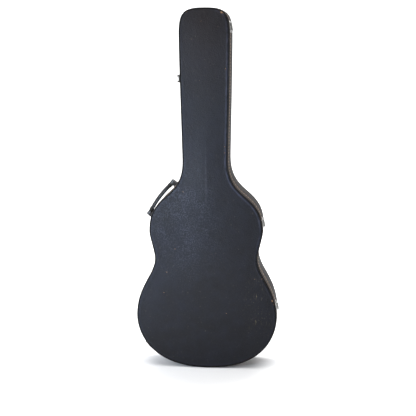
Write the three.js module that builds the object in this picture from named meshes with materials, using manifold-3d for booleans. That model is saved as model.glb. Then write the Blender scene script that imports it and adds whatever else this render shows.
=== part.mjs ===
// A hard-shell guitar case standing on its lower end, lid towards -Y.
// Millimetres, +X right, +Y back, +Z up; the origin is at the middle of the lowest point.
import * as THREE from 'three';
import { mergeVertices } from 'three/addons/utils/BufferGeometryUtils.js';
import Module from 'manifold-3d';

const wasm = await Module();
wasm.setup();

// Overall shell
const CASE_LENGTH = 1074;
const CASE_DEPTH = 120;
const LID_DEPTH = 30;
const LOWER_BOUT_WIDTH = 425;
const WAIST_WIDTH = 308;
const UPPER_BOUT_WIDTH = 339;
const NECK_WIDTH = 134;
const HEAD_WIDTH = 146.5;

// Where along the length each width is reached
const LOWER_BOUT_HEIGHT = 160;
const WAIST_HEIGHT = 343;
const UPPER_BOUT_HEIGHT = 424;
const NECK_HEIGHT = 636;
const HEAD_HEIGHT = CASE_LENGTH - 77;
const SHOULDER_DROP = 36;

// Walls, panels and trim
const WALL = 4;
const PANEL_STEP = 0.6;
const PANEL_EDGE = 4.1;
const PANEL_SEAT = 3.8;
const PANEL_THICKNESS = 6;
const PIPING_RADIUS = 1.7;
const PIPING_INSET = 2;
const PIPING_DROP = 1.8;
const GAP = 0.3;
const SEAM = 0.4;

// Padding
const PAD_THICKNESS = 5.5;
const PAD_INSET = WALL + 0.4;
const SIDE_PAD = 6.6;
const RIM_RISE = 9;
const RIM_CLEARANCE = 1;

// Neck cradle and accessory compartment
const CRADLE_HEIGHT = CASE_LENGTH - 228;
const CRADLE_THICKNESS = 22;
const CRADLE_NOTCH = 58;
const CRADLE_RISE = 72;
const BOX_WALL = 8;
const BOX_HEIGHT = NECK_HEIGHT + 16;
const BOX_RISE = 46;
const BOX_LID_THICKNESS = 4;
const BOX_PIN_RADIUS = 1.5;
const BOX_BARREL_RADIUS = 3.2;
const TAB_WIDTH = 26;
const TAB_THICKNESS = 1.4;

// Lid hinges
const HINGE_HEIGHTS = [CASE_LENGTH - 54, UPPER_BOUT_HEIGHT + 23, LOWER_BOUT_HEIGHT + 32];
const HINGE_LENGTHS = [34, 30, 30];
const HINGE_NAMES = ['head', 'upper', 'lower'];
const LEAF_WIDTH = LID_DEPTH - 8;
const LEAF_FOOT = 5;
const BARREL_SHARE = 0.62;
const PLATE = 1.2;
const BARREL_RADIUS = 2.5;
const BARREL_STANDOFF = 4.4;
const PIN_RADIUS = 1.2;
const RUNNING_FIT = 0.05;

// Latches
const LATCH_HEIGHTS = [CASE_LENGTH - 200, LOWER_BOUT_HEIGHT - 92];
const LATCH_NAMES = ['neck', 'lower'];
const LATCH_HALF = 13;
const LATCH_REACH = 29;
const LATCH_PIVOT = 4.6;
const LATCH_NOSE_PIVOT = 7;
const LATCH_NOSE_REACH = 5;
const LATCH_PIN_RADIUS = 1.3;
const LATCH_BARREL_RADIUS = 2.4;
const NOSE_RADIUS = 2.7;
const LUG_RADIUS = 3.1;
const LUG_INNER = 6.2;

// Handle
const HANDLE_TOP_HEIGHT = UPPER_BOUT_HEIGHT + 132;
const HANDLE_BOTTOM_HEIGHT = UPPER_BOUT_HEIGHT + 37;
const HANDLE_PIVOT = 14.5;
const HANDLE_RISE = 5;
const HANDLE_DROOP = 20;
const GRIP_HALF_THICKNESS = 4.4;
const GRIP_HALF_WIDTH = 11;
const GRIP_END_HALF = 5.6;
const POST_LENGTH = 13;
const POST_HALF_WIDTH = 10;
const HANDLE_PIN_RADIUS = 2.2;

const HALF_DEPTH = CASE_DEPTH / 2;
const PARTING = -HALF_DEPTH + LID_DEPTH;
const PAD_LEVEL = PANEL_THICKNESS + GAP + PAD_THICKNESS;
const LINED = PAD_INSET + SIDE_PAD;

const material = (name, color, roughness, metalness) => {
  const made = new THREE.MeshStandardMaterial({ color, roughness, metalness });
  made.name = name;
  return made;
};
const leatherette = material('leatherette', 0x33343a, 0.62, 0);
const piping = material('piping', 0x1b1b1e, 0.45, 0);
const plush = material('plush', 0x4a2a2e, 0.95, 0);
const chrome = material('hardware_chrome', 0xb9b7b2, 0.28, 0.9);
const brass = material('hardware_brass', 0x8c7748, 0.38, 0.85);
const blackPlastic = material('handle_plastic', 0x1c1c1f, 0.5, 0);
const endMetal = material('handle_end_metal', 0x4b443c, 0.45, 0.7);
const ribbon = material('pull_ribbon', 0x2a1a1c, 0.85, 0);

const group = new THREE.Group();
group.name = 'guitar_case';

function add(name, geometry, surface) {
  const mesh = new THREE.Mesh(geometry, surface.clone());
  mesh.material.name = surface.name;
  mesh.name = name;
  group.add(mesh);
  return mesh;
}

// Builds a closed body from points and triangles, turned so that it faces out.
function body(points, triangles) {
  let volume = 0;
  for (const [a, b, c] of triangles) {
    volume += points[a].dot(points[b].clone().cross(points[c]));
  }
  const faces = volume < 0 ? triangles.map(([a, b, c]) => [a, c, b]) : triangles;
  const geometry = new THREE.BufferGeometry();
  geometry.setAttribute('position', new THREE.Float32BufferAttribute(points.flatMap((p) => p.toArray()), 3));
  geometry.setIndex(faces.flat());
  geometry.computeVertexNormals();
  return geometry;
}

// Triangles that close a flat loop whose points start at `first`, keeping the loop's own turning way.
function capFaces(flat, first, sameWay) {
  const turn = Math.sign(THREE.ShapeUtils.area(flat));
  return THREE.ShapeUtils.triangulateShape(flat, []).map(([a, b, c]) => {
    const way = Math.sign(THREE.ShapeUtils.area([flat[a], flat[b], flat[c]]));
    const tri = way * turn > 0 === sameWay ? [a, b, c] : [a, c, b];
    return tri.map((i) => i + first);
  });
}

// Joins a stack of equal loops into one closed body. `flatten` lays a loop out for its cap.
function stack(loops, flatten) {
  const count = loops[0].length;
  const points = loops.flat();
  const triangles = [];
  for (let k = 0; k + 1 < loops.length; k += 1) {
    for (let i = 0; i < count; i += 1) {
      const j = (i + 1) % count;
      const [a, b, c, d] = [k * count + i, k * count + j, (k + 1) * count + j, (k + 1) * count + i];
      triangles.push([a, b, c], [a, c, d]);
    }
  }
  triangles.push(...capFaces(loops[0].map(flatten), 0, false));
  triangles.push(...capFaces(loops.at(-1).map(flatten), (loops.length - 1) * count, true));
  return body(points, triangles);
}

function toManifold(geometry) {
  const bare = geometry.clone();
  bare.deleteAttribute('normal');
  bare.deleteAttribute('uv');
  const merged = mergeVertices(bare, 1e-4);
  return new wasm.Manifold(new wasm.Mesh({
    numProp: 3,
    vertProperties: new Float32Array(merged.attributes.position.array),
    triVerts: new Uint32Array(merged.index.array),
  }));
}

function fromManifold(solid) {
  const mesh = solid.getMesh();
  const geometry = new THREE.BufferGeometry();
  geometry.setAttribute('position', new THREE.BufferAttribute(new Float32Array(mesh.vertProperties), 3));
  geometry.setIndex(new THREE.BufferAttribute(new Uint32Array(mesh.triVerts), 1));
  geometry.computeVertexNormals();
  return geometry;
}

function combine(joined, cut = []) {
  let solid = joined.map(toManifold).reduce((a, b) => a.add(b));
  for (const tool of cut) solid = solid.subtract(toManifold(tool));
  return fromManifold(solid);
}

// The half outline: curves from the lowest point, round the bouts, up the neck and over the head.
const outlineCurves = (() => {
  const at = (x, z) => new THREE.Vector2(x, z);
  const [bout, waist, upper] = [LOWER_BOUT_WIDTH / 2, WAIST_WIDTH / 2, UPPER_BOUT_WIDTH / 2];
  const [neck, head] = [NECK_WIDTH / 2, HEAD_WIDTH / 2];
  const rise = (from, to, share) => from + (to - from) * share;
  const curve = (a, b, c, d) => new THREE.CubicBezierCurve(a, b, c, d);
  return [
    [11, curve(at(0, 0), at(bout * 0.93, 0), at(bout, LOWER_BOUT_HEIGHT * 0.84), at(bout, LOWER_BOUT_HEIGHT))],
    [7, curve(at(bout, LOWER_BOUT_HEIGHT), at(bout, rise(LOWER_BOUT_HEIGHT, WAIST_HEIGHT, 0.515)),
      at(waist, rise(WAIST_HEIGHT, LOWER_BOUT_HEIGHT, 0.283)), at(waist, WAIST_HEIGHT))],
    [5, curve(at(waist, WAIST_HEIGHT), at(waist, rise(WAIST_HEIGHT, UPPER_BOUT_HEIGHT, 0.214)),
      at(upper, rise(UPPER_BOUT_HEIGHT, WAIST_HEIGHT, 0.194)), at(upper, UPPER_BOUT_HEIGHT))],
    [12, curve(at(upper, UPPER_BOUT_HEIGHT), at(upper, rise(UPPER_BOUT_HEIGHT, NECK_HEIGHT, 0.574)),
      at(neck, rise(NECK_HEIGHT, UPPER_BOUT_HEIGHT, 0.565)), at(neck, NECK_HEIGHT))],
    [4, curve(at(neck, NECK_HEIGHT), at(neck, rise(NECK_HEIGHT, HEAD_HEIGHT, 0.1)),
      at(head, rise(HEAD_HEIGHT, NECK_HEIGHT, 0.246)), at(head, HEAD_HEIGHT))],
    [9, curve(at(head, HEAD_HEIGHT), at(head, rise(HEAD_HEIGHT, CASE_LENGTH, 0.876)),
      at(head * 0.779, CASE_LENGTH), at(0, CASE_LENGTH))],
  ];
})();

const halfOutline = outlineCurves.flatMap(([steps, curve], part) => {
  const stations = [];
  for (let i = part ? 1 : 0; i <= steps; i += 1) {
    const along = i / steps;
    const tangent = curve.getTangent(along);
    stations.push({ point: curve.getPoint(along), normal: new THREE.Vector2(tangent.y, -tangent.x) });
  }
  return stations;
});
halfOutline[0].normal.set(0, -1);
halfOutline.at(-1).normal.set(0, 1);

// The half outline moved inwards by `inset`.
const insetHalf = (inset) => halfOutline.map(({ point, normal }) => point.clone().addScaledVector(normal, -inset));

// The whole outline moved inwards by `inset`, at depth `y`.
function outlineLoop(inset, y) {
  const right = insetHalf(inset);
  const left = right.slice(1, -1).reverse().map((p) => new THREE.Vector2(-p.x, p.y));
  return [...right, ...left].map((p) => new THREE.Vector3(p.x, y, p.y));
}

const flatXZ = (p) => new THREE.Vector2(p.x, p.z);

// Carries a cross-section of [inset, y] points all the way round the outline.
function wholeSweep(section) {
  const rings = section.map(([inset, y]) => outlineLoop(inset, y));
  const count = rings[0].length;
  const triangles = [];
  rings.forEach((ring, k) => {
    const next = ((k + 1) % rings.length) * count;
    for (let i = 0; i < count; i += 1) {
      const j = (i + 1) % count;
      triangles.push([k * count + i, k * count + j, next + j], [k * count + i, next + j, next + i]);
    }
  });
  return body(rings.flat(), triangles);
}

// Places along the side wall, measured up it from the lowest point.
const wallLengths = halfOutline.reduce((sums, { point }, i) => {
  sums.push(i ? sums[i - 1] + point.distanceTo(halfOutline[i - 1].point) : 0);
  return sums;
}, []);

function wallPoint(along, standoff) {
  let i = 0;
  while (i + 2 < wallLengths.length && wallLengths[i + 1] < along) i += 1;
  const share = (along - wallLengths[i]) / (wallLengths[i + 1] - wallLengths[i]);
  const rail = [halfOutline[i], halfOutline[i + 1]].map(({ point, normal }) => (
    point.clone().addScaledVector(normal, standoff)
  ));
  return rail[0].lerp(rail[1], share);
}

function alongAtHeight(height) {
  let i = 1;
  while (halfOutline[i].point.y < height) i += 1;
  const [low, high] = [halfOutline[i - 1].point, halfOutline[i].point];
  return wallLengths[i - 1] + (wallLengths[i] - wallLengths[i - 1]) * (height - low.y) / (high.y - low.y);
}

const halfWidthAt = (height) => wallPoint(alongAtHeight(height), 0).x;

// Carries a cross-section of [inset, y] points up one side, from one place along the wall to another.
// `sectionAt` gives the section for each place; `marks` are places that must have one of their own.
function halfSweep(sectionAt, side, from, to, marks = []) {
  const own = [from, ...marks, to];
  const between = wallLengths.filter((s) => s > from && s < to && own.every((m) => Math.abs(m - s) > 1));
  const stops = [...own, ...between].sort((a, b) => a - b);
  const loops = stops.map((s) => sectionAt(s).map(([inset, y]) => {
    const p = wallPoint(s, -inset);
    return new THREE.Vector3(side * Math.max(p.x, SEAM / 2), y, p.y);
  }));
  return stack(loops, (p) => new THREE.Vector2(p.y, p.z + p.x * 1e-3));
}

// A plate that hugs the side wall, from one place along it to another
const wallPlate = (side, from, to, inner, outer, near, far) => (
  halfSweep(() => [[-inner, near], [-outer, near], [-outer, far], [-inner, far]], side, from, to)
);

// A frame on the wall: outwards, back, and along the wall.
function wallFrame(side, origin, outward) {
  const out = new THREE.Vector3(side * outward.x, 0, outward.y).normalize();
  const back = new THREE.Vector3(0, 1, 0);
  const along = new THREE.Vector3().crossVectors(out, back);
  return new THREE.Matrix4().makeBasis(out, back, along).setPosition(side * origin.x, 0, origin.y);
}

// A flat shape in (outwards, back), drawn out along the wall between two places of a frame.
function drawn(shape, from, to, frame, segments = 8) {
  const geometry = new THREE.ExtrudeGeometry(shape, {
    depth: to - from, bevelEnabled: false, curveSegments: segments,
  });
  geometry.translate(0, 0, from);
  return geometry.applyMatrix4(frame);
}

const polygon = (points) => new THREE.Shape(points.map(([x, y]) => new THREE.Vector2(x, y)));
const box = (x0, x1, y0, y1) => polygon([[x0, y0], [x1, y0], [x1, y1], [x0, y1]]);

function disc(x, y, radius) {
  const shape = new THREE.Shape();
  shape.absarc(x, y, radius, 0, Math.PI * 2, false);
  return shape;
}

const ROUND = 8;

// Lid and body shells
function panelLoops(outside, inwards) {
  const level = (drop) => outside + inwards * drop;
  return [
    [PANEL_EDGE + 1.2, 0], [PANEL_EDGE, 1.2], [PANEL_EDGE, PANEL_SEAT],
    [PANEL_STEP, PANEL_SEAT], [PANEL_STEP, PANEL_THICKNESS],
  ].map(([inset, drop]) => outlineLoop(inset, level(drop)));
}

function padLoops(outside, inwards) {
  const start = PANEL_THICKNESS + GAP;
  return [
    [PAD_INSET, start], [PAD_INSET, start + PAD_THICKNESS * 0.6], [PAD_INSET + 2, PAD_LEVEL],
  ].map(([inset, drop]) => outlineLoop(inset, outside + inwards * drop));
}

function pipingSection(outside, inwards) {
  return Array.from({ length: 6 }, (_, i) => {
    const turn = (i + 0.5) * Math.PI / 3;
    return [
      PIPING_INSET + PIPING_RADIUS * Math.cos(turn),
      outside + inwards * (PIPING_DROP + PIPING_RADIUS * Math.sin(turn)),
    ];
  });
}

add('lid_panel', stack(panelLoops(-HALF_DEPTH, 1), flatXZ), leatherette);
add('lid_piping', wholeSweep(pipingSection(-HALF_DEPTH, 1)), piping);
add('lid_lining', stack(padLoops(-HALF_DEPTH, 1), flatXZ), plush);
add('body_panel', stack(panelLoops(HALF_DEPTH, -1), flatXZ), leatherette);
add('body_piping', wholeSweep(pipingSection(HALF_DEPTH, -1)), piping);
add('body_lining', stack(padLoops(HALF_DEPTH, -1), flatXZ), plush);

// Each side is bent in three lengths that meet at the waist and where the shoulder turns into the neck.
const SHELL_START = PANEL_THICKNESS + GAP;
const wallEnd = wallLengths.at(-1);
const waistJoint = alongAtHeight(WAIST_HEIGHT);
const neckJoint = alongAtHeight(NECK_HEIGHT - SHOULDER_DROP);
const lengths = [
  ['lower_bout', 0, waistJoint - SEAM / 2],
  ['upper_bout', waistJoint + SEAM / 2, neckJoint - SEAM / 2],
  ['neck', neckJoint + SEAM / 2, wallEnd],
];
const strip = (near, far) => [[0, near], [WALL, near], [WALL, far], [0, far]];
const rim = WALL + RIM_CLEARANCE;
const restLevel = HALF_DEPTH - PAD_LEVEL - GAP;
const sidePad = [
  [PAD_INSET, restLevel], [PAD_INSET, PARTING + 1.6], [rim, PARTING + 1], [rim, PARTING - RIM_RISE + 1.4],
  [rim + 1.2, PARTING - RIM_RISE], [LINED - 2, PARTING - RIM_RISE], [LINED, PARTING - RIM_RISE + 2.4],
  [LINED, restLevel],
];
for (const [word, side] of [['left', -1], ['right', 1]]) {
  for (const [length, from, to] of lengths) {
    const lidStrip = strip(-HALF_DEPTH + SHELL_START, PARTING - GAP / 2);
    const bodyStrip = strip(PARTING + GAP / 2, HALF_DEPTH - SHELL_START);
    add(`lid_${length}_side_${word}`, halfSweep(() => lidStrip, side, from, to), leatherette);
    add(`body_${length}_side_${word}`, halfSweep(() => bodyStrip, side, from, to), leatherette);
    add(`${length}_lining_${word}`, halfSweep(() => sidePad, side, from, to), plush);
  }
}

// Neck cradle, standing across the neck with a notch for it
const upright = new THREE.Matrix4();
const cradleHalf = halfWidthAt(CRADLE_HEIGHT) - LINED - 0.8;
{
  const front = restLevel - CRADLE_RISE;
  const floor = front + CRADLE_RISE * 0.42;
  const notch = CRADLE_NOTCH / 2;
  const shape = new THREE.Shape();
  shape.moveTo(-cradleHalf, restLevel);
  shape.lineTo(-cradleHalf, front + 5);
  shape.quadraticCurveTo(-cradleHalf, front, -cradleHalf + 5, front);
  shape.lineTo(-notch - 4, front);
  shape.quadraticCurveTo(-notch, front, -notch, front + 4);
  shape.bezierCurveTo(-notch, floor - 2, -notch * 0.55, floor, 0, floor);
  shape.bezierCurveTo(notch * 0.55, floor, notch, floor - 2, notch, front + 4);
  shape.quadraticCurveTo(notch, front, notch + 4, front);
  shape.lineTo(cradleHalf - 5, front);
  shape.quadraticCurveTo(cradleHalf, front, cradleHalf, front + 5);
  shape.lineTo(cradleHalf, restLevel);
  add('neck_cradle', drawn(shape, CRADLE_HEIGHT, CRADLE_HEIGHT + CRADLE_THICKNESS, upright, 5), plush);
}

// Accessory compartment between its end wall and the cradle
const boxHalf = halfWidthAt(BOX_HEIGHT) - LINED - 0.8;
const boxTop = restLevel - BOX_RISE;
{
  const wall = box(-boxHalf, boxHalf, boxTop, restLevel);
  add('compartment_wall', drawn(wall, BOX_HEIGHT, BOX_HEIGHT + BOX_WALL, upright), plush);
}
const boxFrom = BOX_HEIGHT + BOX_WALL + 0.6;
const boxTo = CRADLE_HEIGHT - 0.6;
export const boxHingeX = boxHalf - BOX_BARREL_RADIUS - 0.4;
export const boxHingeY = boxTop + BOX_BARREL_RADIUS;
{
  const shape = new THREE.Shape();
  const lower = Math.acos((BOX_BARREL_RADIUS - BOX_LID_THICKNESS) / BOX_BARREL_RADIUS);
  const edge = boxHingeX - Math.sin(lower) * BOX_BARREL_RADIUS;
  shape.moveTo(edge, boxTop + BOX_LID_THICKNESS);
  shape.absarc(boxHingeX, boxHingeY, BOX_BARREL_RADIUS,
    Math.atan2(boxTop + BOX_LID_THICKNESS - boxHingeY, edge - boxHingeX), -Math.PI / 2, true);
  shape.lineTo(-boxHalf + 1.5, boxTop);
  shape.quadraticCurveTo(-boxHalf, boxTop, -boxHalf, boxTop + 1.5);
  shape.lineTo(-boxHalf, boxTop + BOX_LID_THICKNESS);
  shape.holes.push(disc(boxHingeX, boxHingeY, BOX_PIN_RADIUS + RUNNING_FIT));
  add('compartment_lid', drawn(shape, boxFrom, boxTo, upright, ROUND), plush);
  const rod = disc(boxHingeX, boxHingeY, BOX_PIN_RADIUS);
  add('compartment_pin', drawn(rod, boxFrom - 0.3, boxTo + 0.3, upright, ROUND), chrome);
  const middle = (boxFrom + boxTo) / 2;
  const near = boxTop - GAP - TAB_THICKNESS;
  const tab = box(-boxHalf + 3, -boxHalf + 3 + TAB_WIDTH, near, boxTop - GAP);
  add('compartment_tab', drawn(tab, middle - TAB_WIDTH / 3, middle + TAB_WIDTH / 3, upright), ribbon);
}

// The straight line that rests against the right side; the lid turns about a line just outside it.
const hingeLine = (() => {
  const points = halfOutline.map(({ point }) => point);
  let best = null;
  points.forEach((a, i) => {
    points.slice(i + 1).forEach((b) => {
      const span = b.clone().sub(a);
      const out = new THREE.Vector2(span.y, -span.x).normalize();
      const rests = points.every((p) => p.clone().sub(a).dot(out) < 1e-6);
      if (rests && (!best || span.length() > best.length)) best = { a, out, length: span.length() };
    });
  });
  return best;
})();
const axisOrigin = hingeLine.a.clone().addScaledVector(hingeLine.out, BARREL_STANDOFF);
const axisUp = new THREE.Vector2(-hingeLine.out.y, hingeLine.out.x);
export const lidAxis = {
  pos_mm: [axisOrigin.x, PARTING, axisOrigin.y],
  axis: [axisUp.x, 0, axisUp.y],
};

// Everything inside the wall, let out by a small gap, to trim fittings against.
const wallSolid = stack([outlineLoop(-GAP, -HALF_DEPTH), outlineLoop(-GAP, HALF_DEPTH)], flatXZ);

HINGE_NAMES.forEach((word, index) => {
  const length = HINGE_LENGTHS[index];
  const centre = wallPoint(alongAtHeight(HINGE_HEIGHTS[index]), 0);
  const shift = centre.clone().sub(axisOrigin).dot(axisUp);
  const pivot = axisOrigin.clone().addScaledVector(axisUp, shift);
  const frame = wallFrame(1, pivot, hingeLine.out);
  const reach = pivot.distanceTo(centre);
  const mid = alongAtHeight(HINGE_HEIGHTS[index]);
  const barrel = length * BARREL_SHARE;
  const knuckle = barrel / 5;
  const hole = disc(0, PARTING, PIN_RADIUS + RUNNING_FIT);
  const bore = drawn(hole, -length, length, frame, ROUND);
  const leaf = (way, slots) => {
    // The leaf is as wide as the barrel at the joint and flares to its full length away from it.
    const far = PARTING + way * (0.6 + LEAF_WIDTH);
    const leafAt = (s) => {
      const past = Math.max(0, Math.abs(s - mid) - barrel / 2) / (length / 2 - barrel / 2);
      const near = PARTING + way * (0.6 + past * (LEAF_WIDTH - LEAF_FOOT));
      return [[-GAP, near], [-GAP - PLATE, near], [-GAP - PLATE, far], [-GAP, far]];
    };
    const pieces = [halfSweep(leafAt, 1, mid - length / 2, mid + length / 2, [mid - barrel / 2, mid + barrel / 2])];
    const web = [PARTING + way * 0.4, PARTING + way * BARREL_RADIUS].sort((a, b) => a - b);
    for (const slot of slots) {
      const from = -barrel / 2 + slot * knuckle + 0.15;
      const to = from + knuckle - 0.3;
      pieces.push(drawn(disc(0, PARTING, BARREL_RADIUS), from, to, frame, ROUND));
      pieces.push(drawn(box(-reach - 1, 0, ...web), from, to, frame));
    }
    return combine(pieces, [bore, wallSolid]);
  };
  add(`hinge_${word}_lid_leaf`, leaf(-1, [1, 3]), chrome);
  add(`hinge_${word}_body_leaf`, leaf(1, [0, 2, 4]), chrome);
  const shaft = drawn(disc(0, PARTING, PIN_RADIUS), -barrel / 2 - 0.6, barrel / 2 + 0.6, frame, ROUND);
  const headShape = disc(0, PARTING, BARREL_RADIUS - 0.4);
  const heads = [
    drawn(headShape, -barrel / 2 - 1.4, -barrel / 2 - 0.3, frame, ROUND),
    drawn(headShape, barrel / 2 + 0.3, barrel / 2 + 1.4, frame, ROUND),
  ];
  add(`hinge_${word}_pin`, combine([shaft, ...heads]), chrome);
});

// Latches on the left side: a base with two ears, a link, a lever with a rounded nose, and a catch plate.
export const latchAxes = {};
LATCH_NAMES.forEach((word, index) => {
  const mid = alongAtHeight(LATCH_HEIGHTS[index]);
  const centre = wallPoint(mid, 0);
  const chord = wallPoint(mid + LATCH_HALF, 0).sub(wallPoint(mid - LATCH_HALF, 0)).normalize();
  const frame = wallFrame(-1, centre, new THREE.Vector2(chord.y, -chord.x));
  const rear = PARTING + LATCH_REACH;
  const front = PARTING - LATCH_NOSE_REACH;
  const hole = LATCH_PIN_RADIUS + RUNNING_FIT;
  const earIn = LATCH_HALF - 2.2;
  const linkHalf = earIn - GAP;

  const plate = (near, far) => wallPlate(-1, mid - LATCH_HALF - 2, mid + LATCH_HALF + 2, GAP, GAP + PLATE, near, far);
  const ear = new THREE.Shape();
  ear.moveTo(0.6, rear - LATCH_BARREL_RADIUS);
  ear.lineTo(LATCH_PIVOT, rear - LATCH_BARREL_RADIUS);
  ear.absarc(LATCH_PIVOT, rear, LATCH_BARREL_RADIUS, -Math.PI / 2, Math.PI / 2, false);
  ear.lineTo(0.6, rear + LATCH_BARREL_RADIUS);
  const rearBore = drawn(disc(LATCH_PIVOT, rear, hole), -20, 20, frame, ROUND);
  add(`latch_${word}_base`, combine([
    plate(PARTING + 2, rear + LATCH_BARREL_RADIUS + 3),
    drawn(ear, earIn, LATCH_HALF, frame),
    drawn(ear, -LATCH_HALF, -earIn, frame),
  ], [rearBore, wallSolid]), brass);

  const linkPlate = polygon([
    [LATCH_PIVOT - 0.9, rear], [LATCH_PIVOT - 0.7, front + NOSE_RADIUS + 1],
    [LATCH_PIVOT + 0.6, front + NOSE_RADIUS + 1], [LATCH_PIVOT + 0.4, rear],
  ]);
  const arm = polygon([
    [LATCH_PIVOT - 0.9, rear], [LATCH_PIVOT - 0.7, front + 1.5], [LATCH_NOSE_PIVOT, front - 1],
    [LATCH_NOSE_PIVOT + 0.9, front + 1.2], [LATCH_PIVOT + 0.6, front + NOSE_RADIUS + 2.4],
    [LATCH_PIVOT + 0.4, rear],
  ]);
  const frontBore = drawn(disc(LATCH_NOSE_PIVOT, front, hole), -20, 20, frame, ROUND);
  const linkPieces = [
    drawn(linkPlate, -linkHalf, linkHalf, frame),
    drawn(disc(LATCH_PIVOT, rear, LATCH_BARREL_RADIUS), -linkHalf, linkHalf, frame, ROUND),
  ];
  for (const [from, to] of [[LUG_INNER, linkHalf], [-linkHalf, -LUG_INNER]]) {
    linkPieces.push(drawn(arm, from, to, frame));
    linkPieces.push(drawn(disc(LATCH_NOSE_PIVOT, front, LUG_RADIUS), from, to, frame, ROUND));
  }
  add(`latch_${word}_link`, combine(linkPieces, [rearBore, frontBore]), brass);
  const rearPin = disc(LATCH_PIVOT, rear, LATCH_PIN_RADIUS);
  add(`latch_${word}_link_pin`, drawn(rearPin, -LATCH_HALF - 0.8, LATCH_HALF + 0.8, frame, ROUND), brass);

  const top = LATCH_NOSE_PIVOT + 1.2;
  const tongue = polygon([
    [LATCH_NOSE_PIVOT - 0.4, front], [top - 1.3, front + 4], [top - 1.3, rear - 8.6], [top + 2, rear - 5.2],
    [top + 3.1, rear - 6], [top, rear - 10], [top, front],
  ]);
  const wide = polygon([
    [top - 1.3, front + 4], [top - 1.3, rear - 8.6], [top + 2, rear - 5.2],
    [top + 3.1, rear - 6], [top, rear - 10], [top, front + 4],
  ]);
  const noseHalf = LUG_INNER - GAP;
  add(`latch_${word}_lever`, combine([
    drawn(disc(LATCH_NOSE_PIVOT, front, NOSE_RADIUS), -noseHalf, noseHalf, frame, ROUND),
    drawn(tongue, -noseHalf, noseHalf, frame),
    drawn(wide, -linkHalf + 1, linkHalf - 1, frame),
  ], [frontBore]), brass);
  const frontPin = disc(LATCH_NOSE_PIVOT, front, LATCH_PIN_RADIUS);
  add(`latch_${word}_lever_pin`, drawn(frontPin, -linkHalf - 0.2, linkHalf + 0.2, frame, ROUND), brass);

  const ridge = polygon([
    [0.6, front - 6.4], [2.7, front - 5], [2.9, front - 3.6], [2.7, front - 2.6], [0.6, front - 1.6],
  ]);
  add(`latch_${word}_catch`, combine([
    plate(PARTING - 19, PARTING - 1.2),
    drawn(ridge, -LUG_INNER, LUG_INNER, frame),
  ], [wallSolid]), brass);

  const spot = (out, y) => new THREE.Vector3(out, y, 0).applyMatrix4(frame).toArray();
  latchAxes[word] = {
    link: spot(LATCH_PIVOT, rear),
    lever: spot(LATCH_NOSE_PIVOT, front),
    along: new THREE.Vector3().setFromMatrixColumn(frame, 2).toArray(),
  };
});

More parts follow.
